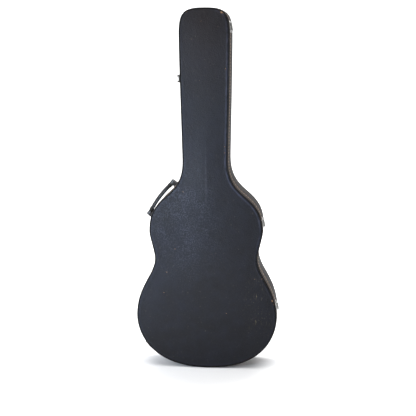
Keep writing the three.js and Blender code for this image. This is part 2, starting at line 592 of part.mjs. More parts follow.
// Carrying handle on the left shoulder, swinging about two pins in line with its posts
const handleTop = wallPoint(alongAtHeight(HANDLE_TOP_HEIGHT), 0);
const handleBottom = wallPoint(alongAtHeight(HANDLE_BOTTOM_HEIGHT), 0);
const handleChord = handleTop.clone().sub(handleBottom);
const handleSpan = handleChord.length();
const handleOut = new THREE.Vector2(handleChord.y, -handleChord.x).normalize();
const handleMiddle = handleTop.clone().add(handleBottom).multiplyScalar(0.5);
const handleFrame = wallFrame(-1, handleMiddle, handleOut);
export const handleAxis = {
  pos: new THREE.Vector3(HANDLE_PIVOT, 0, 0).applyMatrix4(handleFrame).toArray(),
  axis: new THREE.Vector3().setFromMatrixColumn(handleFrame, 2).toArray(),
};
{
  const postIn = handleSpan / 2 - POST_LENGTH / 2;
  const gripEnd = postIn - 0.5;
  const hole = drawn(disc(HANDLE_PIVOT, 0, HANDLE_PIN_RADIUS + RUNNING_FIT), -handleSpan, handleSpan,
    handleFrame, ROUND);
  // The grip arches between its square ends and widens to a strap. It hangs towards the lid.
  const droop = THREE.MathUtils.degToRad(HANDLE_DROOP);
  const stations = [-1, -0.9, -0.78, -0.65, -0.4, 0, 0.4, 0.65, 0.78, 0.9, 1].map((share) => {
    const broad = THREE.MathUtils.smoothstep(1 - Math.abs(share), 0.05, 0.36);
    return {
      at: share * gripEnd,
      out: HANDLE_PIVOT + HANDLE_RISE * (1 - share * share),
      thick: THREE.MathUtils.lerp(GRIP_END_HALF, GRIP_HALF_THICKNESS, broad),
      wide: THREE.MathUtils.lerp(GRIP_END_HALF, GRIP_HALF_WIDTH, broad),
    };
  });
  const rings = stations.map(({ at, out, thick, wide }) => Array.from({ length: 16 }, (_, i) => {
    const turn = (i + 0.5) * Math.PI / 8;
    const [c, s] = [Math.cos(turn), Math.sin(turn)];
    const round = (v) => Math.sign(v) * Math.abs(v) ** 0.55;
    const [lift, across] = [out - HANDLE_PIVOT + thick * round(c), wide * round(s)];
    return new THREE.Vector3(
      HANDLE_PIVOT + lift * Math.cos(droop) + across * Math.sin(droop),
      across * Math.cos(droop) - lift * Math.sin(droop),
      at,
    ).applyMatrix4(handleFrame);
  }));
  const inverse = handleFrame.clone().invert();
  const grip = stack(rings, (p) => {
    const q = p.clone().applyMatrix4(inverse);
    return new THREE.Vector2(q.x, q.y);
  });
  add('handle_grip', combine([grip], [hole]), blackPlastic);

  for (const [word, side] of [['upper', -1], ['lower', 1]]) {
    const range = [side * postIn, side * (postIn + POST_LENGTH)].sort((a, b) => a - b);
    const foot = [side * (postIn - 4), side * (postIn + POST_LENGTH + 9)].sort((a, b) => a - b);
    const post = new THREE.Shape();
    post.moveTo(-12, -POST_HALF_WIDTH);
    post.lineTo(HANDLE_PIVOT, -POST_HALF_WIDTH);
    post.bezierCurveTo(HANDLE_PIVOT + 9, -POST_HALF_WIDTH, HANDLE_PIVOT + 9, POST_HALF_WIDTH,
      HANDLE_PIVOT, POST_HALF_WIDTH);
    post.lineTo(-12, POST_HALF_WIDTH);
    const middle = alongAtHeight(word === 'upper' ? HANDLE_TOP_HEIGHT : HANDLE_BOTTOM_HEIGHT);
    const outer = word === 'upper' ? 1 : -1;
    const ends = [middle - outer * 9, middle + outer * 16].sort((a, b) => a - b);
    add(`handle_post_${word}`, combine([
      drawn(post, ...range, handleFrame),
      wallPlate(-1, ...ends, GAP, GAP + 2, -POST_HALF_WIDTH - 3, POST_HALF_WIDTH + 3),
    ], [hole, wallSolid]), endMetal);
    const pin = [side * (gripEnd - 9), side * (postIn + POST_LENGTH + 1)].sort((a, b) => a - b);
    add(`handle_pin_${word}`, drawn(disc(HANDLE_PIVOT, 0, HANDLE_PIN_RADIUS), ...pin, handleFrame, ROUND), endMetal);
  }
}

export default group;
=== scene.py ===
# A hard-shell guitar case, standing on its lower end with the lid towards the camera.
# Everything is in metres in the row frame: +X right, +Y back, +Z up.
import bpy
import math
import numpy as np
from mathutils import Matrix, Vector


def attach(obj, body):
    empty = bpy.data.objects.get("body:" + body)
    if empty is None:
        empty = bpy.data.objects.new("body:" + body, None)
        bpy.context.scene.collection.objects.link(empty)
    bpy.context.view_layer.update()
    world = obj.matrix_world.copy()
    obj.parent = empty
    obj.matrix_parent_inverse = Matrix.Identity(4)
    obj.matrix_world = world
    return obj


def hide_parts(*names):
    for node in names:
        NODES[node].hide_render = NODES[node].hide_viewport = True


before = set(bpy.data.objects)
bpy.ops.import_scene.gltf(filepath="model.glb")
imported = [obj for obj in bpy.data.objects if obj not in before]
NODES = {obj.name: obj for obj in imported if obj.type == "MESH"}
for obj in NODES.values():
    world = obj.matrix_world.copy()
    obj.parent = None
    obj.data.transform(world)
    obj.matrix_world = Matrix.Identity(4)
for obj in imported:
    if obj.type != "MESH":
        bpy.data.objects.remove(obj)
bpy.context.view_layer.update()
scene = bpy.context.scene
rng = np.random.default_rng(11)
MM = 0.001

# ---------------------------------------------------------------- sizes (mm)
LENGTH, DEPTH, LID_DEPTH = 1074.0, 120.0, 30.0
BOUT, WAIST, UPPER, NECK, HEAD = 212.5, 154.0, 169.5, 67.0, 73.25
BOUT_Z, WAIST_Z, UPPER_Z, NECK_Z, HEAD_Z = 160.0, 343.0, 424.0, 636.0, 997.0
FRONT, BACK = -DEPTH / 2, DEPTH / 2
PARTING = FRONT + LID_DEPTH
WALL, EDGE, STEP, SEAT, PANEL = 4.0, 4.1, 0.6, 3.8, 6.0
PAD_LEVEL = PANEL + 0.3 + 5.5
LINED = WALL + 0.4 + 6.6
BEAD, SHOULDER = 1.85, 2.6
CROWN, UNEVEN, FOLD = 1.4, 0.22, 2.3


# ---------------------------------------------------------------- outline
def bezier(points, count):
    t = np.linspace(0, 1, count)[:, None]
    a, b, c, d = [np.array(p, float) for p in points]
    place = (1 - t) ** 3 * a + 3 * (1 - t) ** 2 * t * b + 3 * (1 - t) * t ** 2 * c + t ** 3 * d
    way = (1 - t) ** 2 * (b - a) + 2 * (1 - t) * t * (c - b) + t ** 2 * (d - c)
    return place, way


def rise(a, b, share):
    return a + (b - a) * share


def half_outline(counts=(70, 40, 30, 60, 50, 60)):
    parts = [
        ((0, 0), (BOUT * 0.93, 0), (BOUT, BOUT_Z * 0.84), (BOUT, BOUT_Z)),
        ((BOUT, BOUT_Z), (BOUT, rise(BOUT_Z, WAIST_Z, 0.515)), (WAIST, rise(WAIST_Z, BOUT_Z, 0.283)),
         (WAIST, WAIST_Z)),
        ((WAIST, WAIST_Z), (WAIST, rise(WAIST_Z, UPPER_Z, 0.214)), (UPPER, rise(UPPER_Z, WAIST_Z, 0.194)),
         (UPPER, UPPER_Z)),
        ((UPPER, UPPER_Z), (UPPER, rise(UPPER_Z, NECK_Z, 0.574)), (NECK, rise(NECK_Z, UPPER_Z, 0.565)),
         (NECK, NECK_Z)),
        ((NECK, NECK_Z), (NECK, rise(NECK_Z, HEAD_Z, 0.1)), (HEAD, rise(HEAD_Z, NECK_Z, 0.246)),
         (HEAD, HEAD_Z)),
        ((HEAD, HEAD_Z), (HEAD, rise(HEAD_Z, LENGTH, 0.876)), (HEAD * 0.779, LENGTH), (0, LENGTH)),
    ]
    places, ways = [], []
    for k, (part, count) in enumerate(zip(parts, counts)):
        p, w = bezier(part, count)
        places.append(p[1 if k else 0:])
        ways.append(w[1 if k else 0:])
    p, w = np.vstack(places), np.vstack(ways)
    n = np.stack([w[:, 1], -w[:, 0]], 1)
    n /= np.linalg.norm(n, axis=1)[:, None]
    n[0], n[-1] = (0, -1), (0, 1)
    return p, n


P, N = half_outline()
S = np.concatenate([[0], np.cumsum(np.linalg.norm(np.diff(P, axis=0), axis=1))])
TOTAL = S[-1]


def wall(along, standoff=0.0):
    """(x, z) on the right-hand wall and its outward normal, at a length along it."""
    x = np.interp(along, S, P[:, 0] + N[:, 0] * standoff)
    z = np.interp(along, S, P[:, 1] + N[:, 1] * standoff)
    n = np.array([np.interp(along, S, N[:, 0]), np.interp(along, S, N[:, 1])])
    return np.array([x, z]), n / np.linalg.norm(n)


def along_at(z):
    return float(np.interp(z, P[:, 1], S))


def loop(inset, y):
    """The whole outline moved inwards, as points at depth y."""
    q = P - N * inset
    q[0, 0] = q[-1, 0] = 0
    left = q[1:-1][::-1] * (-1, 1)
    both = np.vstack([q, left])
    return np.stack([both[:, 0], np.full(len(both), y), both[:, 1]], 1)


def edge_distance(points):
    """How far in from the outline each (x, z) is."""
    q = np.abs(points[:, :1]), points[:, 1:]
    out = np.empty(len(points))
    for start in range(0, len(points), 4000):
        x, z = q[0][start:start + 4000], q[1][start:start + 4000]
        out[start:start + 4000] = np.sqrt((x - P[None, :, 0]) ** 2 + (z - P[None, :, 1]) ** 2).min(1)
    return out


def smooth(v, a, b):
    t = np.clip((v - a) / (b - a), 0, 1)
    return t * t * (3 - 2 * t)


# ---------------------------------------------------------------- mesh helpers
def make(name, verts, faces, mat, body):
    """A mesh from points in mm that rides on a CAD body."""
    me = bpy.data.meshes.new(name)
    me.from_pydata((np.asarray(verts, float) * MM).tolist(), [], faces)
    me.validate()
    me.update()
    ob = bpy.data.objects.new(name, me)
    scene.collection.objects.link(ob)
    me.materials.append(mat)
    me.polygons.foreach_set("use_smooth", [True] * len(me.polygons))
    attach(ob, body)
    return ob


def band(rows, count):
    """Quads between closed rows of points, each `count` long."""
    faces = []
    for k in range(rows - 1):
        a, b = k * count, (k + 1) * count
        for i in range(count):
            j = (i + 1) % count
            faces.append((a + i, a + j, b + j, b + i))
    return faces


def ends(rows, count):
    """The two faces that close the first and the last row of a band."""
    last = (rows - 1) * count
    return [tuple(range(count))[::-1], tuple(range(last, last + count))]


def sharpen(ob, angle=35):
    bpy.context.view_layer.objects.active = ob
    ob.data.set_sharp_from_angle(angle=math.radians(angle))


def bevelled(ob, width, segments=3, angle=35):
    mod = ob.modifiers.new("round", "BEVEL")
    mod.width = width * MM
    mod.segments = segments
    mod.limit_method = "ANGLE"
    mod.angle_limit = math.radians(angle)
    mod.harden_normals = False


# ---------------------------------------------------------------- materials
class Nodes:
    """Small helper that writes node trees."""

    def __init__(self, name):
        self.mat = bpy.data.materials.new(name)
        self.mat.use_nodes = True
        self.tree = self.mat.node_tree
        self.bsdf = self.tree.nodes["Principled BSDF"]
        self.place = self.tree.nodes.new("ShaderNodeTexCoord").outputs["Object"]

    def new(self, kind, **inputs):
        node = self.tree.nodes.new(kind)
        for key, value in inputs.items():
            self.put(node.inputs[key.replace("_", " ")], value)
        return node

    def put(self, socket, value):
        if isinstance(value, bpy.types.NodeSocket):
            self.tree.links.new(value, socket)
        else:
            socket.default_value = value

    def colour(self, value):
        """A socket as it is, or three numbers with an alpha of 1."""
        return value if isinstance(value, bpy.types.NodeSocket) else (*value, 1)

    def noise(self, scale, detail=3.0, rough=0.55, vector=None):
        node = self.new("ShaderNodeTexNoise", Scale=scale, Detail=detail, Roughness=rough)
        self.put(node.inputs["Vector"], vector or self.place)
        return node.outputs["Fac"]

    def stretched(self, scale):
        node = self.new("ShaderNodeMapping")
        self.put(node.inputs["Vector"], self.place)
        node.inputs["Scale"].default_value = scale
        return node.outputs["Vector"]

    def cells(self, scale):
        node = self.new("ShaderNodeTexVoronoi", Scale=scale)
        self.put(node.inputs["Vector"], self.place)
        return node.outputs["Distance"]

    def math(self, kind, a, b=0.0):
        node = self.tree.nodes.new("ShaderNodeMath")
        node.operation = kind
        self.put(node.inputs[0], a)
        self.put(node.inputs[1], b)
        return node.outputs[0]

    def ramp(self, value, low, high, to_low=0.0, to_high=1.0):
        node = self.new("ShaderNodeMapRange")
        self.put(node.inputs["Value"], value)
        for key, number in (("From Min", low), ("From Max", high), ("To Min", to_low), ("To Max", to_high)):
            node.inputs[key].default_value = number
        return node.outputs["Result"]

    def mix(self, factor, a, b):
        node = self.tree.nodes.new("ShaderNodeMix")
        node.data_type = "RGBA"
        self.put(node.inputs[0], factor)
        self.put(node.inputs[6], self.colour(a))
        self.put(node.inputs[7], self.colour(b))
        return node.outputs[2]

    def axis(self, name):
        node = self.tree.nodes.new("ShaderNodeSeparateXYZ")
        self.tree.links.new(self.place, node.inputs[0])
        return node.outputs[name]

    def region(self, x, z, rx, rz, soft=1.0):
        """1 in the middle of an ellipse in X and Z (mm), falling to 0 at its edge."""
        node = self.tree.nodes.new("ShaderNodeMapping")
        self.put(node.inputs["Vector"], self.place)
        node.inputs["Location"].default_value = (-x / rx, 0, -z / rz)
        node.inputs["Scale"].default_value = (1 / (rx * MM), 0, 1 / (rz * MM))
        far = self.tree.nodes.new("ShaderNodeVectorMath")
        far.operation = "LENGTH"
        self.put(far.inputs[0], node.outputs["Vector"])
        return self.ramp(far.outputs["Value"], 1.0 - soft, 1.0, 1.0, 0.0)

    def most(self, values):
        top = values[0]
        for value in values[1:]:
            top = self.math("MAXIMUM", top, value)
        return top

    def bump(self, height, strength, distance, under=None):
        node = self.tree.nodes.new("ShaderNodeBump")
        node.inputs["Strength"].default_value = strength
        node.inputs["Distance"].default_value = distance
        self.put(node.inputs["Height"], height)
        if under is not None:
            self.put(node.inputs["Normal"], under)
        return node.outputs["Normal"]

    def finish(self, colour, rough, metal=0.0, normal=None, **fixed):
        self.put(self.bsdf.inputs["Base Color"], self.colour(colour))
        self.put(self.bsdf.inputs["Roughness"], rough)
        self.bsdf.inputs["Metallic"].default_value = metal
        if normal is not None:
            self.put(self.bsdf.inputs["Normal"], normal)
        for key, value in fixed.items():
            self.bsdf.inputs[key.replace("_", " ")].default_value = value
        return self.mat


# Where the cover has worn through to the board: its colour, and chips as (x, z, half width, half height)
TAN = (0.23, 0.135, 0.075)
CHIPS = ((51, 1060, 6, 5), (46, 1066, 7, 3), (-51, 1063, 5.5, 3.2), (-8, 1036, 0.9, 0.9),
         (58, 679, 0.9, 1.6), (58, 661, 0.9, 2.0), (199, 217, 4, 5), (146, 283, 1.1, 1.3),
         (167, 284, 1.6, 1.9), (61, 903, 1.4, 1.8), (-66, 545, 1.2, 1.6), (192, 250, 1.8, 5),
         (-118, 300, 1.6, 1.6), (61, 175, 1.4, 1.4), (-36, 986, 0.8, 0.8), (40, 1020, 0.7, 0.7),
         (-14, 870, 0.8, 0.8), (-92, 372, 1.5, 1.5), (-128, 236, 1.4, 1.4))


def face_marks(n, colour, chip):
    """What only the lid shows: a browner head, scratches, chips, painted highlights (glints on the grain and
    a line up the fold's ridge) and the joint's line.
    """
    # The head is browner than the rest
    faded = n.region(0, 1040, 130, 260, 1.0)
    colour = n.mix(n.math("MULTIPLY", faded, 0.75), colour, (0.0074, 0.0043, 0.0042))
    # A dulled, scratched patch on the lower right, and fine marks near the sheen on the left
    patch = n.region(162, 205, 62, 125, 0.8)
    lean = n.tree.nodes.new("ShaderNodeMapping")
    n.put(lean.inputs["Vector"], n.place)
    lean.inputs["Rotation"].default_value = (0, math.radians(38), 0)
    lean.inputs["Scale"].default_value = (1.0, 1.0, 0.14)
    lines = n.ramp(n.noise(240.0, 4.0, 0.7, lean.outputs["Vector"]), 0.60, 0.70)
    scratch = n.math("MULTIPLY", lines, n.math("MULTIPLY", patch, n.ramp(n.noise(30.0, 3.0), 0.42, 0.6)))
    flecks = n.math("MULTIPLY", n.ramp(n.noise(330.0, 3.0, 0.6), 0.66, 0.72), n.math("ADD", patch, 0.16))
    colour = n.mix(n.math("MULTIPLY", n.most([scratch, flecks]), 0.85), colour, (0.15, 0.125, 0.072))
    dots = n.ramp(n.noise(190.0, 2.0, 0.5), 0.70, 0.75)
    colour = n.mix(n.math("MULTIPLY", dots, 0.5), colour, (0.055, 0.045, 0.040))
    spots = n.most([n.region(*place, soft=0.6) for place in CHIPS])
    ragged = n.ramp(n.noise(420.0, 4.0, 0.7), 0.3, 0.7, -0.5, 0.3)
    chip = n.most([chip, n.ramp(n.math("ADD", spots, ragged), 0.38, 0.55)])
    # Painted highlights: pale spots for the sheen's glints on the grain where the key light falls on the
    # left, and a pale line up the ridge of the fold in the middle
    lit = n.region(-62, 468, 140, 250, 1.0)
    painted_glints = n.ramp(n.noise(290.0, 4.0, 0.75), 0.50, 0.61)
    painted_glints = n.math("MULTIPLY", painted_glints, n.ramp(n.noise(26.0, 4.0, 0.65), 0.38, 0.62, 0.35, 1.0))
    colour = n.mix(n.math("MULTIPLY", painted_glints, lit), colour, (0.046, 0.054, 0.076))
    # Painted highlight: a broken pale line up the fold's ridge, where light would catch it
    broken = n.ramp(n.noise(90.0, 4.0), 0.3, 0.6, 0.3, 1.0)
    crest_highlight = n.math("MULTIPLY", n.region(2, 590, 4, 110, 0.9), broken)
    colour = n.mix(n.math("MULTIPLY", crest_highlight, 0.8), colour, (0.026, 0.028, 0.036))
    # The board's long joint telegraphs as a faint line down the left shoulder
    slant = n.math("ADD", n.axis("X"), n.math("MULTIPLY", n.axis("Z"), -0.157))
    line = n.ramp(n.math("ABSOLUTE", n.math("ADD", slant, 0.1837)), 0.0004, 0.0022, 1.0, 0.0)
    line = n.math("MULTIPLY", line, n.region(-110, 467, 40, 66, 0.6))
    colour = n.mix(n.math("MULTIPLY", line, 0.45), colour, (0.002, 0.002, 0.002))
    return colour, chip


def rim_wear(n, colour, rim):
    """Brown rubbing on the sides, along the parting line and along the front edge."""
    y = n.axis("Y")
    near = n.ramp(n.math("ABSOLUTE", n.math("SUBTRACT", y, PARTING * MM)), 0.0, rim * MM, 1.0, 0.0)
    rub = n.math("ADD", near, n.ramp(n.noise(130.0, 5.0, 0.72), 0.3, 0.72, -0.45, 0.4))
    colour = n.mix(n.ramp(rub, 0.5, 0.78, 0.0, 0.8), colour, (0.2, 0.13, 0.085))
    front = n.ramp(y, (FRONT + PANEL) * MM, (FRONT + PANEL + 5) * MM, 1.0, 0.0)
    rub = n.math("ADD", front, n.ramp(n.noise(150.0, 5.0, 0.72), 0.3, 0.72, -0.6, 0.3))
    colour = n.mix(n.ramp(rub, 0.45, 0.7, 0.0, 0.6), colour, (0.13, 0.09, 0.065))
    return colour


def leatherette(name, base, second, rough=(0.44, 0.56), face=False, rim=0.0, specular=0.2):
    """Grained leatherette, scuffed, worn through where the mesh's wear attribute says, and lightened as a
    painted highlight where its edge attribute says.
    """
    n = Nodes(name)
    broad = n.noise(5.0, 4.0, 0.6)
    mottle = n.noise(38.0, 6.0, 0.65)
    grain = n.cells(430.0)
    colour = n.mix(n.ramp(broad, 0.35, 0.68), base, second)
    colour = n.mix(n.ramp(mottle, 0.46, 0.72, 0.0, 0.45), colour, tuple(min(1, c * 1.9) for c in second))
    pale = tuple(c * 2.1 + 0.002 for c in second)
    colour = n.mix(n.ramp(n.noise(430.0, 3.0, 0.7), 0.52, 0.72, 0.0, 0.5), colour, pale)
    drift = n.ramp(broad, 0.3, 0.7, -0.03, 0.05)
    roughness = n.math("ADD", n.ramp(mottle, 0.3, 0.7, rough[0], rough[1]), drift)
    wear = n.new("ShaderNodeAttribute")
    wear.attribute_name = "wear"
    ragged = n.ramp(n.noise(210.0, 5.0, 0.75), 0.3, 0.72, -0.5, 0.4)
    chip = n.ramp(n.math("ADD", wear.outputs["Fac"], ragged), 0.42, 0.56)
    streaks = n.noise(70.0, 5.0, 0.7, n.stretched((1.0, 1.0, 0.16)))
    scuff = n.math("MULTIPLY", n.ramp(streaks, 0.66, 0.74), n.ramp(n.noise(9.0, 3.0, 0.6), 0.54, 0.7))
    # Painted highlight: a pale blue band where the edge attribute marks the panel's shoulder catching the
    # light
    edge = n.new("ShaderNodeAttribute")
    edge.attribute_name = "edge"
    shoulder_highlight = n.math("MULTIPLY", edge.outputs["Fac"], n.ramp(n.noise(60.0, 4.0, 0.6), 0.35, 0.6, 0.25, 0.9))
    colour = n.mix(shoulder_highlight, colour, tuple(c * 4.6 for c in second))
    if face:
        colour, chip = face_marks(n, colour, chip)
    colour = n.mix(n.math("MULTIPLY", scuff, 0.5), colour, (0.10, 0.092, 0.08))
    colour = n.mix(chip, colour, TAN)
    roughness = n.math("ADD", roughness, n.math("MULTIPLY", chip, 0.25))
    if rim:
        colour = rim_wear(n, colour, rim)
    fine = n.noise(1500.0, 2.0, 0.5)
    normal = n.bump(grain, 0.8, 0.0009)
    normal = n.bump(fine, 0.3, 0.0003, normal)
    normal = n.bump(n.noise(120.0, 4.0, 0.6), 0.5, 0.0022, normal)
    normal = n.bump(n.noise(20.0, 3.0, 0.5), 0.3, 0.004, normal)
    return n.finish(colour, roughness, 0.0, normal, Specular_IOR_Level=specular)


LID_SKIN = leatherette("lid_leatherette", (0.0042, 0.0042, 0.0055), (0.0053, 0.0060, 0.0096), face=True)
# Painted light: the sides are the lid's black cover with a lighter, browner base colour that stands in for
# the grazing light and brown reflection they catch
LIT_SIDE_SKIN = leatherette("side_leatherette", (0.0165, 0.0140, 0.0145), (0.023, 0.0195, 0.0195), (0.58, 0.7),
                        rim=9.0, specular=0.1)
BACK_SKIN = leatherette("back_leatherette", (0.0042, 0.0044, 0.0057), (0.0056, 0.0061, 0.0092))


def piping_material():
    n = Nodes("piping_vinyl")
    worn = n.noise(90.0, 5.0, 0.7)
    colour = n.mix(n.ramp(worn, 0.60, 0.72, 0.0, 0.6), (0.0035, 0.0032, 0.0035), (0.10, 0.062, 0.042))
    rough = n.ramp(worn, 0.3, 0.7, 0.44, 0.6)
    return n.finish(colour, rough, 0.0, n.bump(n.noise(420.0), 0.2, 0.0004), Specular_IOR_Level=0.18)


def plush_material(name, base, deep):
    n = Nodes(name)
    pile = n.noise(240.0, 5.0, 0.7)
    brushed = n.noise(7.0, 3.0, 0.6, n.stretched((1.0, 1.0, 0.45)))
    colour = n.mix(n.ramp(brushed, 0.36, 0.66), deep, base)
    colour = n.mix(n.ramp(pile, 0.35, 0.7, 0.0, 0.5), colour, tuple(c * 1.5 for c in base))
    normal = n.bump(pile, 0.6, 0.0012)
    normal = n.bump(n.noise(1300.0, 2.0), 0.4, 0.0005, normal)
    return n.finish(colour, 0.92, 0.0, normal, Sheen_Weight=0.3, Sheen_Roughness=0.5,
                    Sheen_Tint=(0.6, 0.25, 0.27, 1), Specular_IOR_Level=0.1)


def metal_material(name, base, dull, rough, stain=0.5, metal=1.0, specular=0.5):
    n = Nodes(name)
    spots = n.noise(160.0, 6.0, 0.7)
    broad = n.noise(45.0, 3.0, 0.6)
    colour = n.mix(n.ramp(spots, 0.48, 0.7, 0.0, stain), base, dull)
    dulled = n.ramp(spots, 0.5, 0.7, 0.0, 0.15)
    roughness = n.math("ADD", n.ramp(broad, 0.3, 0.7, rough - 0.06, rough + 0.1), dulled)
    return n.finish(colour, roughness, metal, n.bump(spots, 0.12, 0.0003), Specular_IOR_Level=specular)


def plastic_material(name, base, rough=0.42, scuff=(0.09, 0.085, 0.08), specular=0.5):
    n = Nodes(name)
    fine = n.noise(700.0, 3.0, 0.6)
    scuffs = n.noise(70.0, 5.0, 0.7, n.stretched((1.0, 1.0, 0.3)))
    colour = n.mix(n.ramp(scuffs, 0.6, 0.72, 0.0, 0.35), base, scuff)
    roughness = n.ramp(scuffs, 0.35, 0.7, rough - 0.05, rough + 0.15)
    return n.finish(colour, roughness, 0.0, n.bump(fine, 0.25, 0.0004), Specular_IOR_Level=specular)


def thread_material():
    n = Nodes("thread")
    twist = n.noise(900.0, 2.0)
    colour = n.mix(twist, (0.22, 0.145, 0.095), (0.36, 0.25, 0.17))
    return n.finish(colour, 0.8, 0.0, n.bump(twist, 0.4, 0.0003))


PIPING = piping_material()
PLUSH = plush_material("plush_lining", (0.085, 0.024, 0.03), (0.045, 0.012, 0.017))
CHROME = metal_material("hinge_metal", (0.42, 0.42, 0.41), (0.14, 0.115, 0.085), 0.3)
LEVER = metal_material("latch_lever_metal", (0.50, 0.47, 0.42), (0.14, 0.11, 0.075), 0.32, 0.6)
BRASS = metal_material("latch_metal", (0.058, 0.046, 0.035), (0.024, 0.018, 0.013), 0.42, 0.85, 0.65, 0.3)
CAPS = metal_material("handle_metal", (0.010, 0.009, 0.0085), (0.026, 0.020, 0.015), 0.42, 0.7, 0.3, 0.3)
PLASTIC = plastic_material("handle_plastic", (0.0022, 0.0023, 0.0032), 0.36, (0.018, 0.019, 0.024), 0.3)
THREAD = thread_material()
TAB = plastic_material("pull_tab_leather", (0.035, 0.014, 0.012), 0.5)


# ---------------------------------------------------------------- shells
def float_attribute(ob, values, name="wear"):
    layer = ob.data.attributes.new(name, "FLOAT", "POINT")
    layer.data.foreach_set("value", np.asarray(values, np.float32))


def rows_across(verts, rings, columns):
    """Closes the last ring with rows that run across it from side to side. Adds their points to verts."""
    inner = rings[-1]
    count = len(inner)
    last = (len(rings) - 1) * count
    rows = [[last]]
    for i in range(1, len(P) - 1):
        row = [last + i]
        for k in range(1, columns):
            t = k / columns
            verts.append(inner[i] * (1 - t) + inner[count - i] * t)
            row.append(len(verts) - 1)
        rows.append(row + [last + count - i])
    rows.append([last + len(P) - 1])
    faces = []
    for a, b in zip(rows, rows[1:]):
        if len(a) == 1:
            faces += [(a[0], b[k], b[k + 1]) for k in range(columns)]
        elif len(b) == 1:
            faces += [(a[k], b[0], a[k + 1]) for k in range(columns)]
        else:
            faces += [(a[k], b[k], b[k + 1], a[k + 1]) for k in range(columns)]
    return faces


def panel(name, node, outside, inwards, mat, body, ridge):
    """A covered panel: turned edge over the step, a rounded shoulder and a softly crowned face."""
    profile = [(14.0, PANEL), (STEP + 0.5, PANEL), (STEP, PANEL - 0.5), (STEP, SEAT + 0.5),
               (STEP + 0.5, SEAT), (EDGE, SEAT), (EDGE, SHOULDER)]
    for k in range(1, 8):
        a = k / 7 * math.pi / 2
        profile.append((EDGE + SHOULDER * (1 - math.cos(a)), SHOULDER * (1 - math.sin(a))))
    profile += [(EDGE + 4.5, 0.0), (EDGE + 8, 0.0), (EDGE + 14, 0.0)]
    rings = [loop(u, outside + inwards * v) for u, v in profile]
    count = len(rings[0])
    verts = list(np.vstack(rings))
    faces = band(len(rings), count) + rows_across(verts, rings, 36)
    verts = np.array(verts)
    x, z = verts[:, 0], verts[:, 2]
    near = edge_distance(verts[:, [0, 2]])
    top = np.abs(verts[:, 1] - outside) < SHOULDER + 0.05
    top[:count * 6] = False
    inside = smooth(near, EDGE + 2.2, EDGE + 60) * top
    lift = CROWN * inside
    waves = np.sin(x * 0.031 + 1.3) * np.sin(z * 0.019) + 0.6 * np.sin(z * 0.041 + x * 0.017 + 2)
    lift += UNEVEN * inside * waves
    if ridge:
        reach = smooth(z, 300, 470) * (1 - smooth(z, 640, 740))
        fold = np.clip(1 - np.abs(x + 2) / 62, 0, 1)
        fold = np.sqrt(fold ** 2 + 0.0012) - 0.0346
        lift += FOLD * reach * fold * top * smooth(near, EDGE + 2, EDGE + 24)
    verts[:, 1] -= inwards * lift
    ob = make(name, verts, faces, mat, body)
    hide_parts(node)
    corner = np.exp(-((x - 56) ** 2 / 420 + (z - 1052) ** 2 / 420))
    low_right = np.exp(-((x - 195) ** 2 / 700 + (z - 205) ** 2 / 2600))
    rim = 1 - smooth(near, 3.5, 8.0)
    # Painted highlight: the rings over the shoulder, weighted to the right from the upper body up where the
    # light catches them, go to the edge attribute
    shoulder = np.zeros(len(verts))
    shoulder[11 * count:15 * count] = 1.0
    shoulder *= 0.22 + 0.78 * smooth(x, 20, 40) * smooth(z, 330, 470)
    float_attribute(ob, shoulder, "edge")
    float_attribute(ob, 0.62 * rim * (0.12 + corner * 0.9 + low_right * 0.55 + 0.3 * (z < 50)))


panel("lid_face", "lid_panel", FRONT, 1, LID_SKIN, "lid", True)
panel("back_face", "body_panel", BACK, -1, BACK_SKIN, "shell", False)


def bead(name, node, outside, inwards, body):
    """The round bead between a panel and the sides."""
    rings = []
    for k in range(10):
        a = k / 10 * 2 * math.pi
        rings.append(loop(2.0 + BEAD * math.cos(a), outside + inwards * (BEAD + BEAD * math.sin(a))))
    verts = np.vstack(rings + rings[:1])
    ob = make(name, verts, band(11, len(rings[0])), PIPING, body)
    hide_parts(node)


bead("lid_bead", "lid_piping", FRONT, 1, "lid")
bead("back_bead", "body_piping", BACK, -1, "shell")


def sweep(section, side):
    """Carries a closed section of (inset, y) points up one whole side, with both ends closed."""
    stops = np.concatenate([[0.0], S[(S > 0.5) & (S < TOTAL - 0.5)], [TOTAL]])
    verts = []
    for s in stops:
        for inset, y in section:
            p = wall(s, -inset)[0]
            verts.append((side * max(p[0], 0.15), y, p[1]))
    return np.array(verts), band(len(stops), len(section)) + ends(len(stops), len(section))


def rounded_strip(near, far, radius=0.9):
    """A strip's section, u from 0 to WALL, with rounded outer corners and a very slight swell."""
    r, c = radius, 0.35
    pts = [(WALL, near + c), (WALL, far - c), (WALL - c, far)]
    for k in range(5):
        a = k / 4 * math.pi / 2
        pts.append((r - r * math.sin(a), far - r + r * math.cos(a)))
    pts += [(-0.12, far - (far - near) * 0.3), (-0.2, (near + far) / 2), (-0.12, near + (far - near) * 0.3)]
    for k in range(5):
        a = k / 4 * math.pi / 2
        pts.append((r - r * math.cos(a), near + r - r * math.sin(a)))
    pts.append((WALL - c, near))
    return pts


PARTS = ("lower_bout", "upper_bout", "neck")
for word, side in (("left", -1), ("right", 1)):
    for who, body, near, far in (("lid", "lid", FRONT + PANEL + 0.25, PARTING - 0.15),
                                 ("body", "shell", PARTING + 0.15, BACK - PANEL - 0.25)):
        v, f = sweep(rounded_strip(near, far), side)
        ob = make(f"{who}_wall_{word}", v, f, LIT_SIDE_SKIN, body)
        float_attribute(ob, np.zeros(len(v)))
        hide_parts(*[f"{who}_{part}_side_{word}" for part in PARTS])
        sharpen(ob, 60)


